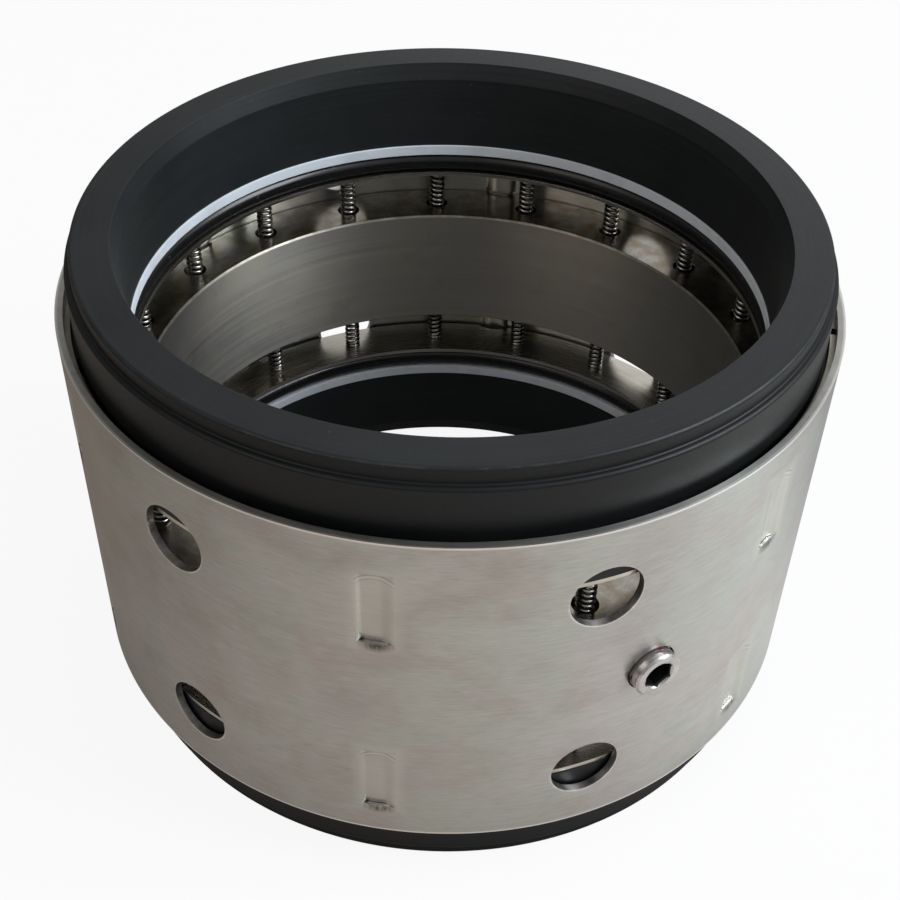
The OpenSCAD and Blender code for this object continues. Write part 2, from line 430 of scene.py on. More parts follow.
def ring_of(t, given, shape):
    """Copies of a shape on a circle round the shaft, all facing outward alike, as one mesh."""
    index = t.out("GeometryNodeInputIndex")
    step = t.math("DIVIDE", 2 * math.pi, given["Count"])
    angle = t.math("MULTIPLY_ADD", index, step, given["First angle"])
    x = t.times(t.math("SINE", angle), given["Circle radius"])
    y = t.times(t.math("COSINE", angle), t.times(given["Circle radius"], -1.0))
    points = t.out("GeometryNodePoints", {"Count": given["Count"], "Position": t.combine(x, y, given["Foot"])})
    spread = t.out("GeometryNodeInstanceOnPoints", {
        "Points": points, "Instance": shape, "Rotation": t.combine(0.0, 0.0, angle),
    })
    return t.out("GeometryNodeRealizeInstances", {"Geometry": spread})


def spring_row_tree():
    """A ring of coil springs with closed ends: the coil stays flat for half a turn at each end."""
    t, given = tree_with_inputs("Spring row", {
        "Count": 20, "Circle radius": 0.055, "First angle": 0.0, "Foot": 0.0, "Rise": 0.014, "Turns": 10.0,
        "Coil radius": 0.0012, "Wire radius": 0.0003, "Material": None,
    })
    rounds = t.plus(given["Turns"], 1.0)
    coil = t.out("GeometryNodeCurveSpiral", {
        "Resolution": 18, "Rotations": rounds, "Start Radius": given["Coil radius"],
        "End Radius": given["Coil radius"], "Height": 0.0,
    })
    flat = t.math("DIVIDE", 0.5, rounds)
    climb = t.out("ShaderNodeMapRange", {
        "Value": t.out("GeometryNodeSplineParameter"), "From Min": flat, "From Max": t.minus(1.0, flat),
        "To Min": 0.0, "To Max": given["Rise"],
    })
    lifted = t.out("GeometryNodeSetPosition", {"Geometry": coil, "Offset": t.combine(0.0, 0.0, climb)})
    section = t.out("GeometryNodeCurvePrimitiveCircle", {"Resolution": 9, "Radius": given["Wire radius"]})
    wire = t.out("GeometryNodeCurveToMesh", {"Curve": lifted, "Profile Curve": section, "Fill Caps": True})
    smooth = t.out("GeometryNodeSetShadeSmooth", {"Geometry": ring_of(t, given, wire)})
    return end_tree(t, smooth, given["Material"])


def ring_of_cuts_tree():
    """Cuts a ring of upright round holes into a piece, each with a straight shank and a cone at its mouth."""
    t, given = tree_with_inputs("Ring of cuts", {
        "Count": 20, "Circle radius": 0.055, "First angle": 0.0, "Foot": 0.0, "Depth": 0.006, "Hole radius": 0.0018,
        "Mouth height": 0.0, "Mouth radius": 0.0018, "Mouth depth": 0.0005, "Material": None,
    }, geometry_in=True)
    shank = t.out("GeometryNodeMeshCylinder", {
        "Vertices": 40, "Radius": given["Hole radius"], "Depth": given["Depth"],
    })
    mouth = t.out("GeometryNodeMeshCone", {
        "Vertices": 40, "Radius Top": given["Mouth radius"], "Radius Bottom": given["Hole radius"],
        "Depth": given["Mouth depth"],
    })
    body = given["Geometry"]
    # A cylinder has its origin at its middle, a cone at its foot
    for shape, height in ((shank, t.times(given["Depth"], 0.5)), (mouth, given["Mouth height"])):
        raised = t.out("GeometryNodeTransform", {"Geometry": shape, "Translation": t.combine(0.0, 0.0, height)})
        body = t.out("GeometryNodeMeshBoolean", {
            "Mesh 1": body, "Mesh 2": ring_of(t, given, raised),
        }, operation="DIFFERENCE", solver="EXACT")
    return end_tree(t, body, given["Material"])


def thread_tree():
    """A screw's thread: a ridge wound along the Z axis, which runs out at both ends."""
    t, given = tree_with_inputs("Thread", {
        "Radius": 0.0036, "Length": 0.01, "Pitch": 0.00125, "Ridge": 0.0006, "Material": None,
    })
    rounds = t.math("DIVIDE", given["Length"], given["Pitch"])
    path = t.out("GeometryNodeCurveSpiral", {
        "Resolution": 48, "Rotations": rounds, "Start Radius": given["Radius"],
        "End Radius": given["Radius"], "Height": given["Length"],
    })
    section = t.out("GeometryNodeCurvePrimitiveCircle", {"Resolution": 3, "Radius": given["Ridge"]})
    along = t.out("GeometryNodeSplineParameter")
    left = t.times(t.math("MINIMUM", along, t.minus(1.0, along)), rounds)
    ridge = t.out("GeometryNodeCurveToMesh", {
        "Curve": path, "Profile Curve": section, "Fill Caps": True,
        "Scale": t.math("MULTIPLY_ADD", left, 2.5, 0.32, clamp=True),
    })
    return end_tree(t, ridge, given["Material"])


# Materials

class Finish(Tree):
    """A principled material with short calls for its procedural colour, roughness and bump."""

    def __init__(self, name, own_colour=(1, 1, 1), **sockets):
        self.material = bpy.data.materials.new(name)
        self.material.use_nodes = True
        super().__init__(self.material.node_tree)
        self.own_colour = own_colour
        self.shader = self.tree.nodes["Principled BSDF"]
        for key, value in sockets.items():
            self.shader.inputs[key.replace("_", " ")].default_value = value
        self.place = self.add("ShaderNodeTexCoord").outputs["Object"]
        self.x, self.y, self.z = self.split(self.place)
        self.height = self.minus(self.z, MID_Z)
        self.radius = self.hypotenuse(self.x, self.y)

    def noise(self, scale, detail, roughness, where=None):
        return self.add("ShaderNodeTexNoise", {
            "Vector": where or self.place, "Scale": scale, "Detail": detail, "Roughness": roughness,
        }).outputs["Fac"]

    def ramp(self, value, low, high, to_low=0.0, to_high=1.0):
        return self.out("ShaderNodeMapRange", {
            "Value": value, "From Min": low, "From Max": high, "To Min": to_low, "To Max": to_high,
        })

    def fade(self, value, near, far, most=1.0, least=0.0):
        """Falls from the most to the least while the value goes from near to far."""
        return self.ramp(value, near, far, most, least)

    def stretched(self, round_scale, height_scale):
        """Places for a noise that is drawn out round the shaft or into upright streaks."""
        return self.combine(
            self.times(self.x, round_scale), self.times(self.y, round_scale), self.times(self.z, height_scale))

    def turned(self, long, fine, detail=2.0):
        """Noise drawn out into lines that run round the shaft, on walls and on end faces alike."""
        across = self.times(self.plus(self.z, self.radius), fine)
        where = self.combine(self.times(self.x, long), self.times(self.y, long), across)
        return self.noise(1.0, detail, 0.6, where)

    def repeated(self, first, count):
        """The distance along the shell from the nearest of the places that repeat round it."""
        step = 2 * math.pi / count
        angle = self.minus(self.azimuth(self.x, self.y), math.radians(first) - step / 2 - 2 * step * count)
        return self.times(self.minus(self.math("MODULO", angle, step), step / 2), self.radius)

    def from_nearer(self, height, level):
        """The distance of a height from the nearer of a level's places at the two ends."""
        return self.math("MINIMUM", *(self.absolute(self.minus(height, level(side))) for side in SIDES))

    def edge_lines(self, radius, height, width):
        """1 on the circles of that radius and height at both ends, falling to 0 at the given distance from them."""
        distance = self.hypotenuse(
            self.minus(self.radius, radius), self.minus(self.absolute(self.height), height))
        return self.fade(distance, width * 0.3, width)

    def spot(self, centre, radius):
        """1 inside a ball round a point, falling to 0 at its rim."""
        return self.fade(self.vector("DISTANCE", self.place, centre), radius * 0.6, radius)

    def tint(self, *factors):
        """The finish's own colour with its parts scaled, all by one factor or each by its own."""
        if len(factors) == 1:
            factors *= 3
        return tuple(part * factor for part, factor in zip(self.own_colour, factors))

    def ground(self, factor, a, b):
        """Starts the colour as one between a and b."""
        self.colour = self.mix(factor, a, b)

    def coat(self, mask, colour):
        """Lays a colour over the ones before it, as far as the mask says."""
        self.colour = self.mix(mask, self.colour, colour)

    def patches(self, pattern, low, high, share, colour):
        """Lays a colour where a pattern goes from low to high, with that share at the most."""
        self.coat(self.ramp(pattern, low, high, 0.0, share), colour)

    def connect(self, roughness, bump, microns):
        """Gives the shader its colour, its roughness and a bump of so many thousandths of a millimetre."""
        normal = self.out("ShaderNodeBump", {"Height": bump, "Strength": 1.0, "Distance": microns * 0.001 * MM})
        for name, value in (("Base Color", self.colour), ("Roughness", roughness), ("Normal", normal)):
            self.tree.links.new(value, self.shader.inputs[name])
        return self.material


def shell_steel(props):
    """Sheet steel brushed round the shell, with soft brown smudges, the marks of its lugs and windows with painted
    light and shade there, and a painted highlight on its rims.
    """
    f = Finish("Brushed shell steel", tuple(props.colour), Metallic=1.0, Anisotropic=0.7, Anisotropic_Rotation=0.25)
    brush = f.turned(long=60.0, fine=6500.0)
    streaks = f.turned(long=30.0, fine=900.0, detail=3.0)
    short = f.noise(1.0, 2.0, 0.6, f.stretched(380.0, 4600.0))
    smudge = f.noise(85.0, 4.0, 0.6, f.stretched(1.0, 1.6))
    f.ground(f.ramp(f.noise(26.0, 3.0, 0.55), 0.36, 0.64), f.tint(0.82), f.tint(1.08))
    f.patches(f.noise(52.0, 3.0, 0.6), 0.44, 0.56, 0.85, f.tint(0.88, 0.985, 0.93))
    f.patches(f.noise(70.0, 3.0, 0.6), 0.54, 0.66, 0.6, f.tint(0.86, 0.78, 0.74))
    f.patches(smudge, 0.5, 0.7, 0.62, f.tint(0.80, 0.75, 0.69))
    f.patches(streaks, 0.35, 0.7, 0.35, f.tint(0.8))
    f.patches(brush, 0.35, 0.65, 0.3, f.tint(1.2))
    f.patches(short, 0.5, 0.75, 0.32, f.tint(0.62))
    f.patches(short, 0.5, 0.25, 0.25, f.tint(1.3))
    outside = f.ramp(f.radius, SHELL_R - 0.3 * MM, SHELL_R - 0.1 * MM)
    mark_lugs(f, props, outside)
    mark_windows(f, props, outside)
    # A painted highlight along the shell's rims
    rim = f.edge_lines(SHELL_R - 0.05 * MM, SHELL_HALF - 0.05 * MM, 0.4 * MM)
    f.coat(f.times(rim, 0.85), f.tint(1.8))
    rough = f.plus(f.ramp(brush, 0.3, 0.7, 0.30, 0.40), f.ramp(smudge, 0.35, 0.7, -0.04, 0.05))
    return f.connect(rough, f.plus(brush, f.times(streaks, 1.2), f.times(short, 0.4)), 2.4)


def mark_lugs(f, props, outside):
    """The steel round the lugs lightened as a painted sheen, painted highlight and shade on their sheared ends,
    painted shade under them and painted lines of shade and highlight at the press's bend above.
    """
    # The lugs repeat round the shell, so one place stands for all
    around = f.repeated(LUG_AZ, props.count)
    half = props.lug_length / 2
    middle = COLLAR_HALF + LUG_ABOVE_COLLAR + half
    beside = f.minus(f.absolute(around), props.lug_width / 2)
    beyond = f.minus(f.absolute(f.minus(f.absolute(f.height), middle)), half)
    # A painted sheen: the steel on and round the lugs is lightened
    f.coat(f.fade(f.greatest(beside, beyond), 0.2 * MM, 1.9 * MM, 0.55), f.tint(1.14, 1.18, 1.11))
    # The sheared edges under the lugs get a painted highlight with painted shade at their corners, and the painted
    # shade under the lugs lies only on the wall's outer face
    drop = f.from_nearer(f.height, lambda side: side * middle - half - 0.35 * MM)
    sheared = f.times(f.fade(drop, 0.5 * MM, 0.7 * MM), f.minus(1.0, outside), f.fade(beside, -0.1 * MM, 0.1 * MM))
    f.coat(sheared, f.mix(f.ramp(beside, -1.1 * MM, -0.5 * MM), f.tint(1.35), f.tint(0.3)))
    # Painted shade under each lug's lower end, broken up into upright streaks
    shade_under_lug = f.hypotenuse(f.math("DIVIDE", around, props.lug_width * 0.56), f.math("DIVIDE", drop, 1.5 * MM))
    shade_streaks = f.ramp(f.noise(1.0, 3.0, 0.6, f.stretched(2600.0, 260.0)), 0.3, 0.6, 0.35, 1.0)
    f.coat(f.times(f.fade(shade_under_lug, 0.3, 1.0), shade_streaks, outside, 0.88), f.tint(0.14))
    # Painted shade and highlight lines draw the press's arched bend at a lug's upper end: a dark line, a bright one
    # under it and a fainter dark one below
    arch = f.math("MULTIPLY_ADD", f.times(around, around), 150.0, f.height)
    within = f.fade(beside, -0.3 * MM, 0.2 * MM)
    for down, brightness, share in ((0.1 * MM, 0.5, 0.55), (0.55 * MM, 1.4, 0.4), (0.95 * MM, 0.6, 0.3)):
        off = f.from_nearer(arch, lambda side: side * middle + half - down)
        f.coat(f.times(within, f.fade(off, 0.06 * MM, 0.26 * MM, share)), f.tint(brightness))


def mark_windows(f, props, outside):
    """Painted shade on the windows' cut edges, and a ragged burr round them lightened as a painted highlight, which
    is strongest below.
    """
    radius = props.window_radius
    reach = f.hypotenuse(f.repeated(WINDOW_AZ, props.count), f.minus(f.absolute(f.height), props.window_height))
    # Painted shade on the cut edges inside the windows
    cut = f.times(f.fade(reach, radius, radius + 0.12 * MM), f.minus(1.0, outside))
    f.coat(f.times(cut, 0.8), f.tint(0.3))
    # The ragged burr gets a painted highlight, strongest at the windows' lower edges
    burr = f.fade(f.absolute(f.minus(reach, radius + 0.1 * MM)), 0.05 * MM, 0.25 * MM, 0.8)
    lower = f.from_nearer(f.height, lambda side: side * props.window_height - radius)
    ragged = f.ramp(f.noise(700.0, 3.0, 0.6), 0.35, 0.6, 0.35, 1.0)
    f.coat(f.times(burr, f.fade(lower, 2.5 * MM, 6.5 * MM, 1.0, 0.12), ragged), f.tint(1.7))


def collar_steel(props):
    """Turned steel with fine lines round the bore, a painted mottled reflection in straw colours on the end faces,
    and a few stains.
    """
    f = Finish("Turned collar steel", tuple(props.colour), Metallic=1.0, Anisotropic=0.8, Anisotropic_Rotation=0.25)
    lines = f.turned(long=15.0, fine=4200.0)
    broad = f.noise(55.0, 3.0, 0.55)
    f.ground(f.ramp(lines, 0.3, 0.7), f.tint(0.93), f.tint(1.06))
    f.patches(broad, 0.42, 0.62, 0.5, f.tint(0.86, 0.82, 0.68))
    # The ground end faces get a painted mottled reflection in straw colours, and the bore has a few faint stains
    end = f.ramp(f.absolute(f.height), COLLAR_HALF - 0.4 * MM, COLLAR_HALF - 0.15 * MM, 0.0, 0.9)
    mottle = f.ramp(f.noise(400.0, 5.0, 0.65), 0.38, 0.62)
    f.coat(end, f.mix(mottle, f.tint(0.94), f.tint(0.56, 0.5, 0.38)))
    f.patches(f.noise(120.0, 5.0, 0.65), 0.58, 0.7, 0.25, f.tint(0.55, 0.48, 0.40))
    # The bore is duller than the ground end faces
    dull = f.fade(f.radius, SHAFT_R + 0.1 * MM, SHAFT_R + 0.5 * MM, 0.24)
    rough = f.plus(f.ramp(lines, 0.3, 0.7, 0.17, 0.23), dull, f.ramp(broad, 0.35, 0.65, -0.02, 0.05))
    return f.connect(rough, f.plus(lines, f.turned(long=10.0, fine=600.0)), 4.0)


def ring_black(props):
    """Matte black sintered ring with fine grain, faint turning lines, a little dust and rubbed edges."""
    f = Finish("Black seal ring", tuple(props.colour), Metallic=0.0, IOR=1.5, Specular_IOR_Level=0.28)
    grain = f.noise(2600.0, 2.0, 0.7)
    lines = f.turned(long=14.0, fine=1400.0)
    cloud = f.noise(40.0, 4.0, 0.6)
    f.ground(f.ramp(cloud, 0.35, 0.7), f.tint(0.85), f.tint(1.3))
    f.patches(lines, 0.45, 0.75, 0.35, f.tint(1.9))
    wear = f.greatest(
        f.edge_lines(props.nose_radius - 0.1 * MM, FACE_Z - 0.1 * MM, 0.3 * MM),
        f.edge_lines(props.body_radius - 0.1 * MM, FACE_Z - props.nose_height - 0.1 * MM, 0.3 * MM))
    chips = f.ramp(f.noise(260.0, 3.0, 0.6), 0.45, 0.62, 0.0, 0.3)
    f.coat(f.times(wear, chips), (0.075, 0.08, 0.085))
    f.patches(f.noise(1500.0, 1.0, 0.4), 0.76, 0.79, 0.25, (0.12, 0.12, 0.12))
    # The sides are darker than the lapped face and the bore
    lapped = f.ramp(f.absolute(f.height), FACE_Z - 0.6 * MM, FACE_Z - 0.2 * MM)
    side = f.ramp(f.radius, props.nose_radius - 0.7 * MM, props.nose_radius - 0.2 * MM)
    f.coat(f.times(side, f.minus(1.0, lapped), 0.75), (0.002, 0.0025, 0.003))
    rough = f.plus(f.ramp(grain, 0.3, 0.7, 0.38, 0.48), f.ramp(cloud, 0.3, 0.7, -0.04, 0.04))
    return f.connect(rough, f.plus(grain, lines), 5.0)


def backup_white():
    """White fluoropolymer, slightly soft, with a trace of grey handling marks."""
    f = Finish("White backup ring", Roughness=0.45, IOR=1.38, Subsurface_Weight=0.15, Subsurface_Scale=0.002)
    lines = f.turned(long=20.0, fine=1200.0)
    f.ground(f.ramp(f.noise(120.0, 4.0, 0.6), 0.5, 0.8), (0.76, 0.81, 0.875), (0.59, 0.61, 0.655))
    return f.connect(f.ramp(lines, 0.3, 0.7, 0.38, 0.52), lines, 10.0)


def oring_rubber():
    """Glossy black rubber with a little dust."""
    f = Finish("O-ring rubber", IOR=1.5)
    film = f.noise(70.0, 4.0, 0.6)
    dust = f.ramp(f.noise(900.0, 2.0, 0.5), 0.68, 0.76, 0.0, 0.4)
    f.ground(dust, (0.006, 0.006, 0.0065), (0.08, 0.08, 0.08))
    return f.connect(f.ramp(film, 0.35, 0.7, 0.2, 0.38), film, 10.0)


def plate_steel():
    """Thin bright plate, a little straw-coloured, with turned lines."""
    f = Finish("Thrust plate steel", Metallic=1.0)
    lines = f.turned(long=15.0, fine=3000.0)
    f.ground(f.ramp(f.noise(90.0, 3.0, 0.6), 0.35, 0.7), (0.66, 0.64, 0.59), (0.50, 0.47, 0.40))
    return f.connect(f.ramp(lines, 0.3, 0.7, 0.2, 0.32), lines, 8.0)


def snap_ring_steel():
    """Spring steel with a khaki tarnish and blank rubbed places."""
    f = Finish("Snap ring steel", Metallic=1.0)
    lines = f.turned(long=30.0, fine=2200.0)
    f.ground(f.ramp(f.noise(160.0, 4.0, 0.6), 0.35, 0.7), (0.26, 0.245, 0.20), (0.40, 0.385, 0.335))
    return f.connect(f.ramp(lines, 0.3, 0.7, 0.3, 0.45), lines, 12.0)


def spring_wire(props):
    """Drawn stainless wire, bright on its rounds, a little stained, with painted shade on the coil's inner side."""
    f = Finish("Spring wire", Metallic=1.0)
    stain = f.noise(600.0, 3.0, 0.6)
    f.ground(f.ramp(stain, 0.35, 0.7), (0.56, 0.545, 0.52), (0.34, 0.32, 0.29))
    # Painted shade on the coil's inner side, where the wire faces into the coil
    reach = f.hypotenuse(f.repeated(SPRING_AZ, props.count), f.minus(f.radius, props.circle_radius))
    f.coat(f.fade(reach, props.coil_radius, props.coil_radius + props.wire * 0.3, 0.9), (0.035, 0.032, 0.03))
    return f.connect(f.ramp(stain, 0.3, 0.7, 0.18, 0.3), stain, 4.0)


def screw_steel(paint_spots, props):
    """Set screw steel with painted shade deep in the sockets and spots of red paint on the thread."""
    f = Finish("Set screw steel", Metallic=0.9)
    patch = f.noise(420.0, 4.0, 0.6)
    f.ground(f.ramp(patch, 0.3, 0.7), (0.60, 0.585, 0.57), (0.37, 0.345, 0.33))
    place = f.vector("SUBTRACT", f.place, (0, 0, MID_Z))
    # Painted shade deep in each screw's hexagon socket
    for azimuth, reach in ((SCREW_AZ, SHELL_R + props.proud), (HIDDEN_SCREW_AZ, SHELL_R)):
        along = on_circle(azimuth, 1.0)
        beside = f.vector("LENGTH", f.vector("CROSS_PRODUCT", place, along))
        depth = f.minus(reach, f.vector("DOT_PRODUCT", place, along))
        # The far end of the axis is on the other side of the shaft
        near = f.fade(depth, props.length, props.length * 1.2, 0.93)
        f.coat(f.times(f.fade(beside, 2.6 * MM, 2.7 * MM), f.ramp(depth, 0.3 * MM, 0.7 * MM), near),
               (0.03, 0.032, 0.034))
    ragged = f.ramp(f.noise(1500.0, 3.0, 0.6), 0.42, 0.5)
    for centre, radius, paint in paint_spots:
        f.coat(f.times(f.spot(centre, radius), ragged), paint)
    return f.connect(f.ramp(patch, 0.3, 0.7, 0.22, 0.42), patch, 10.0)


# The pieces

class ShellPlate:
    """The shell's outer skin, cut in the flat round its windows, screw holes and lugs, then rolled up."""

    FULL = 2 * math.pi
    TURNS, ROWS = 320, 50
    HOLE_STEPS = 72
    LUG_ROWS, LUG_COLUMNS = 11, 24
    KEPT_CLEAR = 0.5 * MM

    def __init__(self, props):
        self.props = props
        self.seam = math.radians((WINDOW_AZ + LUG_AZ) / 2 + 180)
        self.half_lug = props.lug_width / 2
        self.half_angle = math.asin(self.half_lug / SHELL_R)
        self.lug_low = COLLAR_HALF + LUG_ABOVE_COLLAR
        self.lug_high = self.lug_low + props.lug_length
        repeats = [(k * 360 / props.count, side) for k in range(props.count) for side in SIDES]
        self.lugs = [(math.radians(LUG_AZ + turn), side) for turn, side in repeats]
        self.holes = [(math.radians(WINDOW_AZ + turn), side * props.window_height, props.window_radius)
                      for turn, side in repeats]
        self.holes += [(math.radians(azimuth), 0.0, SHELL_SCREW_HOLE_R) for azimuth in (SCREW_AZ, HIDDEN_SCREW_AZ)]

    def unrolled(self, angle):
        return (angle - self.seam) % self.FULL

    def level(self, row):
        return -SHELL_HALF + 2 * SHELL_HALF * row / self.ROWS

    def lug_heights(self, side):
        length = self.lug_high - self.lug_low
        return [side * (self.lug_low + length * j / self.LUG_ROWS) for j in range(self.LUG_ROWS + 1)]

    def loops(self):
        """The closed lines of the flat plate, in angles and heights: its rim, then the holes, then the lugs."""
        around = [self.FULL * i / self.TURNS for i in range(self.TURNS + 1)]
        levels = [self.level(j) for j in range(1, self.ROWS)]
        yield ([(angle, -SHELL_HALF) for angle in around] + [(self.FULL, level) for level in levels] +
               [(angle, SHELL_HALF) for angle in reversed(around)] + [(0.0, level) for level in reversed(levels)])
        for angle, height, radius in self.holes:
            place = self.unrolled(angle)
            turns = [self.FULL * i / self.HOLE_STEPS for i in range(self.HOLE_STEPS)]
            yield [(place + math.asin(radius * math.cos(turn) / SHELL_R), height + radius * math.sin(turn))
                   for turn in turns]
        for angle, side in self.lugs:
            left, heights = self.unrolled(angle) - self.half_angle, self.lug_heights(side)
            widths = [left + 2 * self.half_angle * i / self.LUG_COLUMNS for i in range(self.LUG_COLUMNS + 1)]
            yield ([(w, heights[0]) for w in widths] + [(widths[-1], h) for h in heights[1:]] +
                   [(w, heights[-1]) for w in widths[-2::-1]] + [(widths[0], h) for h in heights[-2:0:-1]])

    def in_a_cut(self, angle, height, margin):
        """Whether a place is in a hole or a lug, or nearer to one than the margin."""
        for place, centre, radius in self.holes:
            off = (angle - self.unrolled(place)) * SHELL_R
            if math.hypot(off, height - centre) < radius + margin:
                return True
        for place, side in self.lugs:
            off = abs(angle - self.unrolled(place)) * SHELL_R
            if off < self.half_lug + margin and self.lug_low - margin < side * height < self.lug_high + margin:
                return True
        return False

    def drawn_in(self, angle, height):
        """How far the wall's edge is drawn inward at the lower end of a lug."""
        for place, side in self.lugs:
            off = abs(angle - self.unrolled(place)) * SHELL_R
            if off < self.half_lug and abs(height - min(side * self.lug_low, side * self.lug_high)) < 0.01 * MM:
                return 0.2 * MM * (1 - (off / self.half_lug) ** 2)
        return 0.0

    def roll_up(self, mesh):
        """Fills the flat plate with triangles and rolls it up."""
        points, edges = [], []
        for loop in self.loops():
            first = len(points)
            points.extend(Vector(p) for p in loop)
            edges.extend((first + i, first + (i + 1) % len(loop)) for i in range(len(loop)))
        for i in range(1, self.TURNS):
            for j in range(1, self.ROWS):
                place = (self.FULL * i / self.TURNS, self.level(j))
                if not self.in_a_cut(*place, self.KEPT_CLEAR):
                    points.append(Vector(place))
        # Angles are scaled to lengths so that the triangles are well shaped
        flat = [Vector((p.x * SHELL_R, p.y)) for p in points]
        verts, _, faces, *_ = delaunay_2d_cdt(flat, edges, [], 1, 1e-7)
        made = {}

        def corner(index):
            if index not in made:
                angle, height = verts[index].x / SHELL_R, verts[index].y
                radius = SHELL_R - self.drawn_in(angle, height)
                made[index] = mesh.verts.new(on_circle(math.degrees(angle + self.seam), radius, MID_Z + height))
            return made[index]

        for face in faces:
            centre = sum((verts[i] for i in face), Vector((0, 0))) / len(face)
            if not self.in_a_cut(centre.x / SHELL_R, centre.y, -0.005 * MM):
                mesh.faces.new([corner(i) for i in face])

    def lug_depth(self, rise):
        """How deep a lug goes at a rise from 0 to 1. Its upper end is bent more than sheared."""
        return self.props.lug_press * (0.5 + 0.28 * max(0, 1 - rise / 0.4) ** 2 - 1.6 * max(0, rise - 0.8))

    def press_lugs(self, mesh):
        """Presses each lug's strip inward between its two sheared ends, with soft flanks."""
        for angle, side in self.lugs:
            grid = []
            for j, height in enumerate(self.lug_heights(side)):
                depth = self.lug_depth(j / self.LUG_ROWS if side > 0 else 1 - j / self.LUG_ROWS)
                row = []
                for i in range(self.LUG_COLUMNS + 1):
                    off = self.half_angle * (2 * i / self.LUG_COLUMNS - 1)
                    flank = self.props.lug_flank if off < 0 else self.props.lug_slope
                    down = min((self.half_angle - abs(off)) * SHELL_R, flank) / flank
                    reach = SHELL_R - depth * down * down * (3 - 2 * down)
                    row.append(mesh.verts.new(on_circle(math.degrees(angle + off), reach, MID_Z + height)))
                grid.append(row)
            for here, there in zip(grid, grid[1:]):
                for i in range(self.LUG_COLUMNS):
                    quad = (here[i], here[i + 1], there[i + 1], there[i])
                    mesh.faces.new(quad if side > 0 else quad[::-1])

    def build(self, name):
        mesh = bmesh.new()
        self.roll_up(mesh)
        self.press_lugs(mesh)
        bmesh.ops.remove_doubles(mesh, verts=mesh.verts, dist=0.002 * MM)
        bmesh.ops.recalc_face_normals(mesh, faces=mesh.faces)
        outward = sum(face.normal.dot(face.calc_center_median() - Vector((0, 0, MID_Z))) for face in mesh.faces)
        if outward < 0:
            bmesh.ops.reverse_faces(mesh, faces=mesh.faces)
        return from_bmesh(name, mesh)


def lug_grooves(shell):
    """The ring of upright grooves in which the lugs run: round holes over the edge, without a cone at the mouth."""
    half = shell.lug_width / 2
    lug_r = (half ** 2 + shell.lug_depth ** 2) / (2 * shell.lug_depth)
    return {
        "count": shell.count, "first_angle": math.radians(LUG_AZ), "circle_radius": SHELL_R - shell.lug_depth + lug_r,
        "hole_radius": lug_r + shell.wall + GROOVE_ROOM,
        "mouth_height": -5 * MM, "mouth_radius": 1 * MM, "mouth_depth": 1 * MM,
    }


def seal_ring_profile(props):
    """The section of the upper seal ring, in heights from the middle plane."""
    bore = SHAFT_R + 0.45 * MM
    seat_r = ORING_OUT_R + 0.07 * MM
    flange_top = RING_FOOT + props.flange_height
    nose_foot = FACE_Z - props.nose_height
    return rounded([
        (seat_r, RING_FOOT, 0.2 * MM),
        (FLANGE_R, RING_FOOT, 0.3 * MM),
        (FLANGE_R, flange_top, 0.2 * MM),
        (props.body_radius, flange_top, 0),
        (props.body_radius, nose_foot, 0.6 * MM),
        (props.nose_radius, nose_foot, 0.35 * MM),
        (props.nose_radius, FACE_Z, 0.6 * MM),
        (bore + props.lead_width, FACE_Z, 0.1 * MM),
        (bore, FACE_Z - props.lead_height, 0.3 * MM),
        (bore, BACKUP_TOP, 0.15 * MM),
        (seat_r, BACKUP_TOP, 0.1 * MM),
    ])


class SEAL_OT_shell(bpy.types.Operator):
    """Add the sheet steel shell with its windows and drive lugs"""
    bl_idname = "seal.shell"
    bl_label = "Shell"

    def execute(self, context):
        props = context.scene.seal_shell
        shell = ShellPlate(props).build("shell_plate")
        thick = shell.modifiers.new("Wall", "SOLIDIFY")
        thick.thickness = props.wall
        thick.offset = -1
        edges = shell.modifiers.new("Edges", "BEVEL")
        edges.width = 0.16 * MM
        edges.segments = 2
        edges.limit_method = "ANGLE"
        edges.angle_limit = math.radians(50)
        shade(as_plain_mesh(shell), 40)
        finish_piece(shell, shell_steel(props), "carrier", "shell_steel", "sleeve")
        return {"FINISHED"}


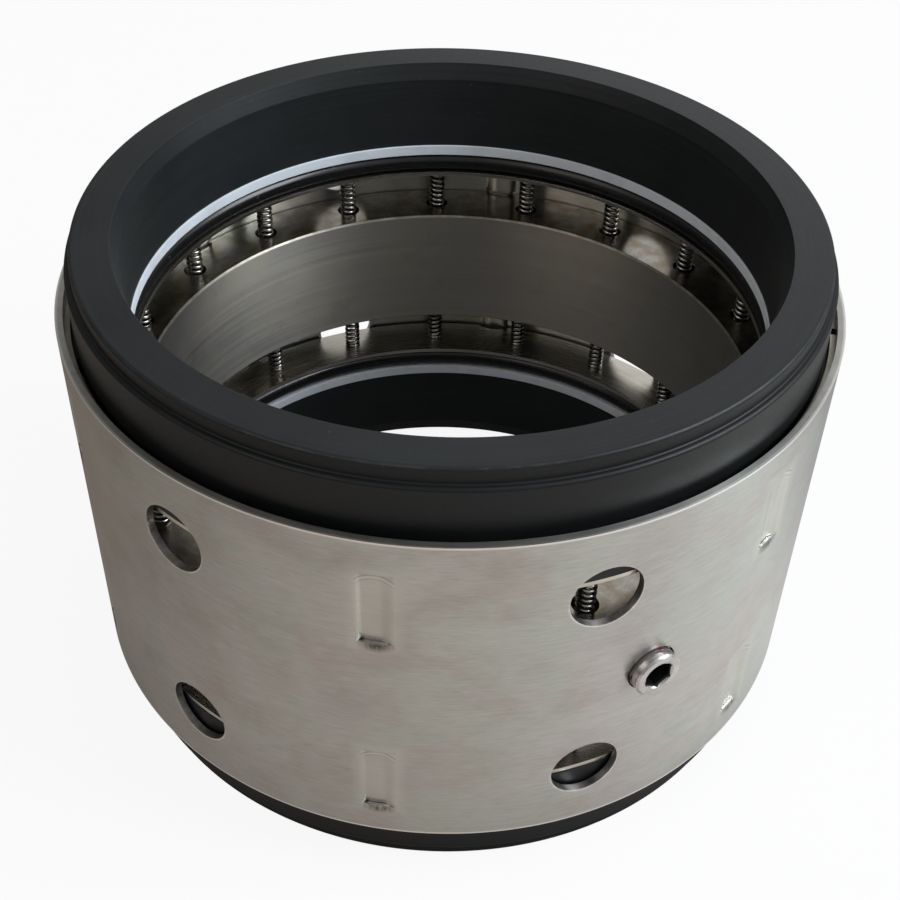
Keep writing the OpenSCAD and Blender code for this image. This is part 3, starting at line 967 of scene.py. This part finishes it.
class SEAL_OT_collar(bpy.types.Operator):
    """Add the drive collar with its ring of spring pockets at each end"""
    bl_idname = "seal.collar"
    bl_label = "Drive collar"

    def execute(self, context):
        props, springs = context.scene.seal_collar, context.scene.seal_springs
        material = collar_steel(props)
        edge = props.edge
        collar = lathe("collar_body", rounded([
            (SHAFT_R, -COLLAR_HALF + edge, 0.1 * MM), (SHAFT_R + edge, -COLLAR_HALF, 0.1 * MM),
            (COLLAR_R, -COLLAR_HALF, 0.3 * MM), (COLLAR_R, COLLAR_HALF, 0.3 * MM),
            (SHAFT_R + edge, COLLAR_HALF, 0.1 * MM), (SHAFT_R, COLLAR_HALF - edge, 0.1 * MM),
        ]), 360)
        # The cutting forms stand out of the collar's ends
        over = 1 * MM
        depth = COLLAR_HALF - SPRING_FOOT
        mouth = props.mouth_radius - props.pocket_radius
        cuts = ring_of_cuts_tree()
        for foot, mouth_height in ((SPRING_FOOT, depth - mouth), (-COLLAR_HALF - over, over + mouth)):
            run_tree(
                collar, cuts, count=springs.count, circle_radius=springs.circle_radius,
                first_angle=math.radians(SPRING_AZ), foot=foot, depth=depth + over, hole_radius=props.pocket_radius,
                mouth_height=mouth_height, mouth_radius=props.mouth_radius, mouth_depth=2 * mouth, material=material,
            )
        self.drill_screw_holes(collar, props)
        shade(move(collar, mirrored(1)))
        finish_piece(collar, material, "carrier", "collar_steel", "drive_collar")
        return {"FINISHED"}

    def drill_screw_holes(self, collar, props):
        """Cuts the set screws' holes, which run from the shell to the bore."""
        drills = bmesh.new()
        for azimuth in (SCREW_AZ, HIDDEN_SCREW_AZ):
            bmesh.ops.create_cone(
                drills, cap_ends=True, segments=64, radius1=props.hole_radius, radius2=props.hole_radius,
                depth=COLLAR_R - SHAFT_R + 4 * MM, matrix=laid_outward(azimuth, (SHAFT_R + COLLAR_R) / 2),
            )
        cut_away(collar, drills)


class SEAL_OT_seal_rings(bpy.types.Operator):
    """Add the two black seal rings"""
    bl_idname = "seal.seal_rings"
    bl_label = "Seal rings"

    def execute(self, context):
        props, shell = context.scene.seal_rings, context.scene.seal_shell
        material = ring_black(props)
        cuts = ring_of_cuts_tree()
        for side, name in SIDES.items():
            ring = lathe(f"{name}_ring_body", seal_ring_profile(props), 360)
            run_tree(
                ring, cuts, foot=RING_FOOT - 1 * MM, depth=props.flange_height + 1.3 * MM, material=material,
                **lug_grooves(shell),
            )
            shade(move(ring, mirrored(side)))
            finish_piece(ring, material, f"{name}_seal_ring", "silicon_carbide", f"{name}_face_ring")
        return {"FINISHED"}


class SEAL_OT_soft_rings(bpy.types.Operator):
    """Add the white backup rings and the black O-rings"""
    bl_idname = "seal.soft_rings"
    bl_label = "Backup rings and O-rings"

    def execute(self, context):
        white, black = backup_white(), oring_rubber()
        inner = SHAFT_R + 0.25 * MM
        half = ORING_D / 2
        cord = [(ORING_OUT_R - half + half * math.cos(a), RING_FOOT + half + half * math.sin(a))
                for a in (2 * math.pi * k / 24 for k in range(24))]
        for side, name in SIDES.items():
            section = flat_section(inner, BACKUP_R, BACKUP_FOOT, BACKUP_TOP, 0.15 * MM, 0.1 * MM)
            backup = lathe(f"{name}_backup_body", section)
            shade(move(backup, mirrored(side)))
            finish_piece(backup, white, f"{name}_seal_ring", "ptfe", f"{name}_backup_ring")
            oring = lathe(f"{name}_oring_body", cord)
            shade(move(oring, mirrored(side)))
            finish_piece(oring, black, f"{name}_seal_ring", "rubber", f"{name}_oring")
        return {"FINISHED"}


class SEAL_OT_plates(bpy.types.Operator):
    """Add the thrust plates and the snap rings"""
    bl_idname = "seal.plates"
    bl_label = "Thrust plates and snap rings"

    def execute(self, context):
        shell = context.scene.seal_shell
        plate_material, snap_material = plate_steel(), snap_ring_steel()
        cuts = ring_of_cuts_tree()
        plate_section = flat_section(SHAFT_R + 0.3 * MM, PLATE_R, PLATE_FOOT, RING_FOOT, 0.1 * MM, 0.1 * MM, 2)
        snap_section = flat_section(
            SHELL_R - shell.wall - SNAP_REACH_IN, SNAP_R, SNAP_FOOT, SNAP_TOP, 0.15 * MM, 0.15 * MM, 2)
        for side, name in SIDES.items():
            plate = lathe(f"{name}_plate_body", plate_section)
            run_tree(
                plate, cuts, foot=PLATE_FOOT - 1 * MM, depth=3 * MM, material=plate_material, **lug_grooves(shell))
            shade(move(plate, mirrored(side)))
            finish_piece(plate, plate_material, f"{name}_seal_ring", "plate_steel", f"{name}_thrust_plate")
            snap = lathe(f"{name}_snap_body", snap_section, 300, SNAP_GAP_AZ[side], SNAP_GAP)
            shade(move(snap, mirrored(side)))
            finish_piece(snap, snap_material, "carrier", "snap_ring_steel", f"{name}_snap_ring")
        return {"FINISHED"}


class SEAL_OT_springs(bpy.types.Operator):
    """Add the two rings of coil springs"""
    bl_idname = "seal.springs"
    bl_label = "Springs"

    def execute(self, context):
        props = context.scene.seal_springs
        material = spring_wire(props)
        tree = spring_row_tree()
        for side, name in SIDES.items():
            row = new_object(f"{name}_springs", bpy.data.meshes.new(f"{name}_springs"))
            foot = MID_Z + side * (SPRING_FOOT + props.wire / 2)
            run_tree(
                row, tree, count=props.count, circle_radius=props.circle_radius, first_angle=math.radians(SPRING_AZ),
                foot=foot, rise=side * (SPRING_LEN - props.wire), turns=float(props.turns),
                coil_radius=props.coil_radius, wire_radius=props.wire / 2, material=material,
            )
            nodes = [f"{name}_spring_{i:02d}" for i in range(1, props.count + 1)]
            finish_piece(row, material, "carrier", "spring_steel", *nodes)
            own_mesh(row)
        return {"FINISHED"}


class SEAL_OT_screws(bpy.types.Operator):
    """Add the two threaded set screws"""
    bl_idname = "seal.screws"
    bl_label = "Set screws"

    def execute(self, context):
        props = context.scene.seal_screws
        outer = SHELL_R + props.proud
        paint = [
            (on_circle(SCREW_AZ + 0.9, outer - 1.35 * MM, MID_Z + 4.0 * MM), 0.85 * MM, (0.42, 0.03, 0.045)),
            (on_circle(SCREW_AZ - 3.7, outer - 1.75 * MM, MID_Z - 0.9 * MM), 0.9 * MM, (0.13, 0.012, 0.014)),
        ]
        material = screw_steel(paint, props)
        tree = thread_tree()
        for name, azimuth, reach in (("set_screw", SCREW_AZ, outer), ("hidden_set_screw", HIDDEN_SCREW_AZ, SHELL_R)):
            # The screw is made along Z with its outer end on z = 0, then laid outward
            core = self.core(f"{name}_core", props)
            ridge = new_object(f"{name}_thread", bpy.data.meshes.new(f"{name}_thread"))
            run_tree(
                ridge, tree, radius=props.radius - THREAD_RIDGE, length=props.length - props.land - SCREW_TIP,
                pitch=props.pitch, ridge=THREAD_RIDGE, material=material,
            )
            move(ridge, Matrix.Translation((0, 0, SCREW_TIP - props.length)))
            for piece in (core, ridge):
                shade(move(piece, laid_outward(azimuth, reach, MID_Z)), 30)
            finish_piece(core, material, name, "screw_steel", name)
            finish_piece(ridge, material, name, "screw_steel")
        return {"FINISHED"}

    def core(self, name, props):
        """The screw without its thread: a bevelled rod with a hexagon socket and a cup point."""
        root = props.radius - 0.55 * MM
        land_r = props.radius - 0.1 * MM
        rod = lathe(name, rounded([
            (NEAR_AXIS, -props.length + 1 * MM, 0), (root - 0.9 * MM, -props.length, 0),
            (root, -props.length + 0.6 * MM, 0.1 * MM), (root, -props.land, 0.1 * MM),
            (land_r, -props.land + 0.12 * MM, 0.05 * MM), (land_r, -0.35 * MM, 0.08 * MM),
            (props.radius - 0.45 * MM, 0, 0.08 * MM), (NEAR_AXIS, 0, 0),
        ]), 72)
        merged = bmesh.new()
        merged.from_mesh(rod.data)
        bmesh.ops.remove_doubles(merged, verts=merged.verts, dist=0.001 * MM)
        bmesh.ops.recalc_face_normals(merged, faces=merged.faces)
        merged.to_mesh(rod.data)
        merged.free()
        socket = bmesh.new()
        corner, bevel = props.socket / 2 / math.cos(math.radians(30)), 0.25 * MM
        bmesh.ops.create_cone(socket, cap_ends=True, segments=6, radius1=corner, radius2=corner, depth=8 * MM)
        bmesh.ops.create_cone(
            socket, cap_ends=True, segments=48, radius1=corner - bevel, radius2=corner + bevel, depth=2 * bevel)
        cut_away(rod, socket)
        return rod


# The stage, with the camera fitted to the photo's view

CAMERA_PLACE = (0, -0.195, MID_Z + 0.16196)
CAMERA_YAW, CAMERA_PITCH, CAMERA_ROLL = 0.00501, 0.77381, 0.02862
CAMERA_SHIFT_UP = 100 / 900
FLOOR_RADIUS = 3.0
WHITE = (1, 1, 1)

# The room's light by azimuth in degrees: darker on the left, bright on the right
FLOOR_LIGHT = (
    (-180, (0.6, 0.6, 0.6)), (-150, (0.5, 0.49, 0.48)), (-122, (0.21, 0.175, 0.145)), (-60, (0.40, 0.365, 0.335)),
    (0, (0.70, 0.64, 0.60)), (80, (1.0, 1.0, 0.99)), (98, (0.73, 0.73, 0.73)), (115, (0.4, 0.41, 0.41)),
    (150, (0.24, 0.25, 0.26)), (180, (0.6, 0.6, 0.6)),
)
SKY_LIGHT = (
    (-180, (0.75, 0.75, 0.75)), (-168, (0.25, 0.25, 0.24)), (-60, (0.2, 0.19, 0.18)), (20, (0.4, 0.4, 0.4)),
    (90, (0.9, 0.92, 0.95)), (118, (0.55, 0.56, 0.57)), (152, (0.5, 0.51, 0.52)), (166, (1.0, 1.0, 1.0)),
    (180, (0.75, 0.75, 0.75)),
)
# The share of the room's light that metal gets from the floor, by distance from the shaft as a share of the reach
FLOOR_FADE = ((0.0, 0.16), (0.27, 0.18), (0.33, 0.72), (0.5, 1.0), (1.0, 1.0))
FLOOR_FADE_REACH = 0.2


def room_light(t, place, stops):
    """The colour of the room's light in the direction of a place, seen from the shaft."""
    x, y, _ = t.split(place)
    ramp = t.add("ShaderNodeValToRGB", {0: t.math("MULTIPLY_ADD", t.azimuth(x, y), 1 / (2 * math.pi), 0.5)})
    while len(ramp.color_ramp.elements) < len(stops):
        ramp.color_ramp.elements.new(0.5)
    for element, (angle, light) in zip(ramp.color_ramp.elements, stops):
        element.position, element.color = (angle + 180) / 360, (*light, 1)
    return ramp.outputs[0]


def lamp(name, location, size, power, light):
    """A square lamp that shines on the seal."""
    data = bpy.data.lights.new(name, "AREA")
    data.shape = "RECTANGLE"
    data.size = data.size_y = size
    data.energy = power
    data.color = light
    piece = bpy.data.objects.new(name, data)
    piece.location = location
    piece.rotation_mode = "QUATERNION"
    piece.rotation_quaternion = (Vector((0, 0, MID_Z)) - Vector(location)).to_track_quat("-Z", "Y")
    bpy.context.scene.collection.objects.link(piece)


class SEAL_OT_stage(bpy.types.Operator):
    """Add the floor, the lamps, the even light from all round and the camera"""
    bl_idname = "seal.stage"
    bl_label = "Stage"

    def execute(self, context):
        scene, props = context.scene, context.scene.seal_stage
        scene.view_settings.view_transform = "Standard"
        self.floor(props)
        self.world(scene, props)
        lamp("Key lamp", (0.72, -0.12, 0.58), 0.5, props.key_power, (0.89, 0.95, 1.0))
        lamp("Fill lamp", (-0.55, -0.5, 0.6), 0.6, 1.2, (1.0, 0.93, 0.86))
        self.camera(scene, props)
        return {"FINISHED"}

    def floor(self, props):
        mesh = bmesh.new()
        bmesh.ops.create_circle(mesh, cap_ends=True, segments=128, radius=FLOOR_RADIUS)
        floor = from_bmesh("floor", mesh)
        material = bpy.data.materials.new("Pale floor")
        material.use_nodes = True
        t = Tree(material.node_tree)
        shader = t.tree.nodes["Principled BSDF"]
        shader.inputs["Roughness"].default_value = 0.9
        shader.inputs["Base Color"].default_value = (*props.floor_colour, 1)
        # The eye sees white. Metal sees the same floor in the room's light, which fades towards the seal's foot.
        place = t.add("ShaderNodeTexCoord").outputs["Object"]
        path = t.add("ShaderNodeLightPath").outputs
        glossy = path["Is Glossy Ray"]
        fade = t.add("ShaderNodeFloatCurve", {"Value": t.times(t.vector("LENGTH", place), 1 / FLOOR_FADE_REACH)})
        points = fade.mapping.curves[0].points
        points[0].location, points[1].location = FLOOR_FADE[0], FLOOR_FADE[-1]
        for stop in FLOOR_FADE[1:-1]:
            points.new(*stop)
        fade.mapping.update()
        near = t.out("ShaderNodeVectorMath", {
            0: room_light(t, place, FLOOR_LIGHT), "Scale": fade.outputs[0],
        }, operation="SCALE")
        shown = t.out("ShaderNodeEmission", {"Color": t.mix(glossy, WHITE, near), "Strength": 1.0})
        # The eye sees a trace of the lamps' shadows too, and the light that falls on pieces comes from a plain floor
        eye = t.greatest(path["Is Camera Ray"], path["Is Transmission Ray"])
        share = t.greatest(t.times(eye, 0.91), glossy)
        mix = t.out("ShaderNodeMixShader", {0: share, 1: shader.outputs[0], 2: shown})
        t.tree.links.new(mix, t.tree.nodes["Material Output"].inputs[0])
        floor.data.materials.append(material)

    def world(self, scene, props):
        world = bpy.data.worlds.new("Even light")
        world.use_nodes = True
        t = Tree(world.node_tree)
        room = t.tree.nodes["Background"]
        light = room_light(t, t.add("ShaderNodeTexCoord").outputs["Generated"], SKY_LIGHT)
        t.tree.links.new(light, room.inputs["Color"])
        room.inputs["Strength"].default_value = props.world_strength
        white = t.out("ShaderNodeBackground", {"Color": (*WHITE, 1), "Strength": 1.0})
        path = t.add("ShaderNodeLightPath").outputs
        plain = t.greatest(path["Is Camera Ray"], path["Is Transmission Ray"])
        mix = t.out("ShaderNodeMixShader", {0: plain, 1: room.outputs[0], 2: white})
        t.tree.links.new(mix, t.tree.nodes["World Output"].inputs[0])
        scene.world = world

    def camera(self, scene, props):
        data = bpy.data.cameras.new("Camera")
        data.lens = props.focal_length
        data.sensor_width = 36
        data.shift_y = CAMERA_SHIFT_UP
        data.clip_start, data.clip_end = 0.01, 20
        camera = bpy.data.objects.new("Camera", data)
        flat, down = math.cos(CAMERA_PITCH), math.sin(CAMERA_PITCH)
        forward = Vector((math.sin(CAMERA_YAW) * flat, math.cos(CAMERA_YAW) * flat, -down))
        level = forward.cross(Vector((0, 0, 1))).normalized()
        upright = level.cross(forward)
        right = math.cos(CAMERA_ROLL) * level + math.sin(CAMERA_ROLL) * upright
        up = -math.sin(CAMERA_ROLL) * level + math.cos(CAMERA_ROLL) * upright
        turn = Matrix((right, up, -forward)).transposed().to_4x4()
        camera.matrix_world = Matrix.Translation(CAMERA_PLACE) @ turn
        scene.collection.objects.link(camera)
        scene.camera = camera


OPERATORS = (
    SEAL_OT_shell, SEAL_OT_collar, SEAL_OT_seal_rings, SEAL_OT_soft_rings,
    SEAL_OT_plates, SEAL_OT_springs, SEAL_OT_screws, SEAL_OT_stage,
)


class SEAL_PT_panel(bpy.types.Panel):
    """Lists the seal's pieces"""
    bl_idname = "SEAL_PT_panel"
    bl_label = "Double mechanical seal"
    bl_space_type = "VIEW_3D"
    bl_region_type = "UI"
    bl_category = "Seal"

    def draw(self, context):
        for operator in OPERATORS:
            self.layout.operator(operator.bl_idname, text=operator.bl_label)


GROUPS = {
    "seal_shell": ShellProperties,
    "seal_collar": CollarProperties,
    "seal_rings": SealRingProperties,
    "seal_springs": SpringProperties,
    "seal_screws": ScrewProperties,
    "seal_stage": StageProperties,
}


def register():
    for cls in (*GROUPS.values(), *OPERATORS, SEAL_PT_panel):
        bpy.utils.register_class(cls)
    for name, cls in GROUPS.items():
        setattr(bpy.types.Scene, name, PointerProperty(type=cls))


def unregister():
    for name in GROUPS:
        delattr(bpy.types.Scene, name)
    for cls in reversed((*GROUPS.values(), *OPERATORS, SEAL_PT_panel)):
        bpy.utils.unregister_class(cls)


def main():
    register()
    for operator in OPERATORS:
        group, name = operator.bl_idname.split(".")
        getattr(getattr(bpy.ops, group), name)()


if __name__ == "__main__":
    main()
